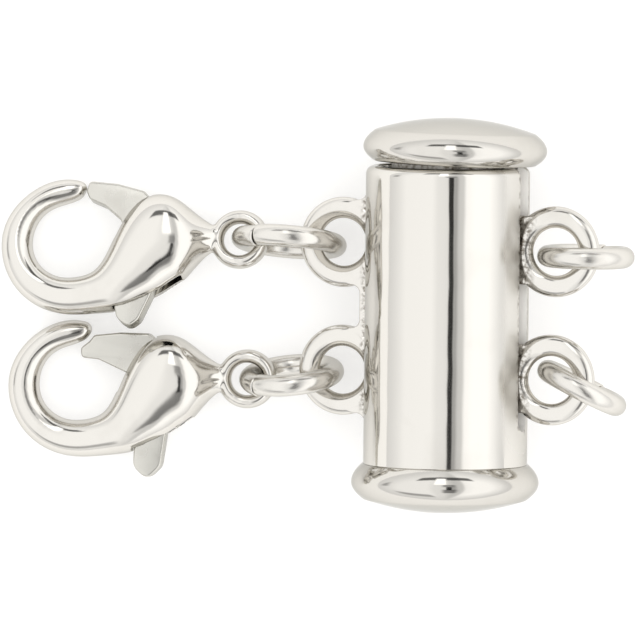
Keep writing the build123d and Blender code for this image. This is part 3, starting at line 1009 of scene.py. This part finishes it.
# Outlines of the levers from their pivot, as shares of the gate's and the tab's reach
GATE_POINTS = {
    "upper": [
        (-0.410, -0.020),
        (-0.475, 0.107),
        (-0.651, 0.253),
        (-0.833, 0.328),
        (-0.871, 0.415),
        (-0.842, 0.535),
        (-0.510, 0.506),
        (-0.202, 0.427),
        (-0.058, 0.278),
        (0.132, 0.102),
    ],
    "lower": [
        (-0.453, -0.044),
        (-0.795, 0.117),
        (-0.994, 0.140),
        (-1.000, 0.250),
        (-0.900, 0.325),
        (-0.842, 0.398),
        (-0.538, 0.427),
        (-0.219, 0.418),
        (-0.058, 0.278),
        (0.132, 0.102),
    ],
}
TAB_POINTS = {
    "upper": [
        (0.073, -0.243),
        (-0.063, -0.645),
        (-0.170, -0.887),
        (-0.268, -0.960),
        (-0.385, -0.882),
        (-0.420, -0.747),
        (-0.290, -0.243),
    ],
    "lower": [
        (0.061, -0.268),
        (-0.012, -0.608),
        (-0.060, -0.920),
        (-0.195, -1.050),
        (-0.330, -0.920),
        (-0.316, -0.681),
        (-0.255, -0.243),
    ],
}
CLAW_POSES = {
    # name: roll, pitch and yaw in which each claw lies, in degrees
    "upper": (14.0, 8.0, 0.2),
    "lower": (4.0, 6.0, 0.8),
}
print("Claw sections:", len(HOOK_SECTIONS), "along the hook and", len(BULB_SECTIONS), "along the bulb")

# %% Smooth rows


def calmed(rows):
    """Rows with each one drawn towards its neighbours, many times over."""
    rows = rows.copy()
    for _ in range(ROW_CALMING):
        rows[1:-1] = (rows[:-2] + 2 * rows[1:-1] + rows[2:]) / 4
    return rows


def smooth_rows(rows, steps):
    """Catmull-Rom rows through the given ones, then calmed so that the mirror shows no waves."""
    rows = np.asarray(rows, float)
    ends = np.vstack([2 * rows[0] - rows[1], rows, 2 * rows[-1] - rows[-2]])
    out = []
    for a, b, c, d in zip(ends, ends[1:], ends[2:], ends[3:]):
        square, cube = 2 * a - 5 * b + 4 * c - d, 3 * b - a - 3 * c + d
        for t in np.linspace(0, 1, steps, endpoint=False):
            out.append(0.5 * (2 * b + (c - a) * t + square * t**2 + cube * t**3))
    out.append(rows[-1])
    once = calmed(np.array(out))
    # Calming alone would pull the hook in, so what a second calming takes off is put back
    return 2 * once - calmed(once)


# %% Claw's skin


def claw_rows():
    """Rows of the claw's spine: place, outward direction, half width, half thickness and fullness."""
    rows = []
    for angle, middle, width, thickness in HOOK_SECTIONS:
        x, y = math.cos(math.radians(angle)), math.sin(math.radians(angle))
        r = HOOK_RADIUS * middle
        rows.append((r * x, r * y, x, y, HOOK_BAND * width / 2, HOOK_THICKNESS * thickness / 2, 2.0))
    for along, across, facing, height, thickness in BULB_SECTIONS:
        x, y = math.cos(math.radians(facing - 90)), math.sin(math.radians(facing - 90))
        full = 2.0 + BULB_FULLNESS * min(max(height - FULL_FROM, 0) / FULL_OVER, 1)
        place = (CLAW_REACH * along, CLAW_REACH * across)
        rows.append((*place, x, y, BULB_HEIGHT * height / 2, BULB_THICKNESS * thickness / 2, full))
    return smooth_rows(rows, ROW_STEPS)


def claw_skin(name, place):
    """Hook, bulb and neck as one skin, with the hook's tip rounded."""
    rings = []
    for i, (x, y, out_x, out_y, width, thick, full) in enumerate(claw_rows()):
        near = min(i / TIP_ROWS, 1)
        size = math.sqrt(1 - (1 - near) ** 2 * TIP_ROUNDING)
        section = ellipse(width * size, thick * size, SKIN_POINTS, full)
        ring = [(x + out_x * a, y + out_y * a, b) for a, b in section]
        rings.append(placed(ring, place))
    return strip(name, rings)


print("Rows along a claw:", len(claw_rows()))

# %% [markdown]
# ## Levers and pockets
#
# A lever is stamped from flat sheet: an outline with a thickness and a small round along its edges.
# The pocket could be a plain box, but it shows round the tab. So it is cut by the lever's own outline,
# grown a little and swung through its whole travel, and no pose makes the two touch. The levers of
# the two claws rest differently, so each pocket is cut for its own lever.

# %% Lever's outline


def lever_outline(name, spread=0.0):
    """Outline of a lever about its pivot, grown by the spread."""
    gate = [(GATE_REACH * x, GATE_REACH * y) for x, y in GATE_POINTS[name]]
    tab = [(TAB_REACH * x, TAB_REACH * y) for x, y in TAB_POINTS[name]]
    tight = GATE_ROUND if spread == 0 else POCKET_ROUND
    radii = [tight] * (len(gate) + 1) + [TAB_ROUND] * (len(tab) - 2) + [tight]
    outline = rounded(gate + tab, radii, 8)
    ahead, behind = np.roll(outline, -1, 0), np.roll(outline, 1, 0)
    run = ahead - behind
    length = np.maximum(np.hypot(run[:, 0], run[:, 1]), 1e-6)
    normal = np.stack([run[:, 1], -run[:, 0]], 1) / length[:, None]
    area = np.sum(outline[:, 0] * ahead[:, 1] - ahead[:, 0] * outline[:, 1])
    return outline + normal * spread * np.sign(area)


print("Points round each lever:", [len(lever_outline(name)) for name in CLAW_POSES])

# %% Casting, pocket and lever of each claw
SWING_STEPS = 5
CLAW_VOXEL = 0.041
CLAW_SOFTENING = 16
POCKET_SOFTENING = 8
RIM_WIDTH = 0.1
RIM_STEPS = 4
RIM_ANGLE = 60
joints = {joint["name"]: joint for joint in frame["joints"]}
for name, (roll, pitch, yaw) in CLAW_POSES.items():
    pivot = Vector(joints["trigger_" + name + "_open"]["pos_m"])
    turn = own_frame((0, 0, 0), yaw, pitch, roll)
    at_pivot = Matrix.Translation(pivot) @ turn
    place = at_pivot @ Matrix.Translation((-PIVOT[0] * MM, -PIVOT[1] * MM, 0))
    middle = (CLAW_REACH, EYELET_RISE, 0)
    eyelet = loop("eyelet", middle, EYELET_HOLE + EYELET_BAND / 2, EYELET_BAND, EYELET_THICKNESS, place)
    claw = fuse("claw_" + name + "_casting", [claw_skin("claw", place), eyelet], CLAW_VOXEL, CLAW_SOFTENING)
    # The pocket is as wide as the lever's whole swing, with a little room round it
    swings = []
    for step in range(SWING_STEPS):
        swung = at_pivot @ Matrix.Rotation(math.radians(LEVER_SWING * step / (SWING_STEPS - 1)), 4, "Z")
        grown = lever_outline(name, LEVER_CLEARANCE)
        swings.append(prism("swing", grown, LEVER_THICKNESS / 2 + LEVER_CLEARANCE, swung))
    cut(claw, fuse("pocket", swings, CLAW_VOXEL, 0), "MANIFOLD")
    claw = fuse("claw_" + name + "_casting", [claw], CLAW_VOXEL, POCKET_SOFTENING)
    dress(claw, "cast", "barrel", "claw_" + name, sharp=50)

    lever = prism("trigger_" + name + "_lever", lever_outline(name), LEVER_THICKNESS / 2, at_pivot)
    rim = lever.modifiers.new("rim", "BEVEL")
    rim.width = RIM_WIDTH * MM
    rim.segments = RIM_STEPS
    rim.limit_method = "ANGLE"
    rim.angle_limit = math.radians(RIM_ANGLE)
    bake(lever)
    dress(lever, "stamped_lever", "trigger_" + name, "trigger_" + name, sharp=50)

# %% Pins
# The pivot pins show nowhere, so their own solids stay. The castings' finish goes on all the solids,
# of which only the pins' are still in use
for node in frame["nodes"].values():
    node.data.materials.clear()
    node.data.materials.append(FINISHES["cast"])
    node.data.shade_smooth()
print("Solids finished like the castings:", len(frame["nodes"]))

# %% Visual box and finish
low, high = (list(corner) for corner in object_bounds())
print("Visual box in mm:", [round((b - a) / MM, 2) for a, b in zip(low, high)])
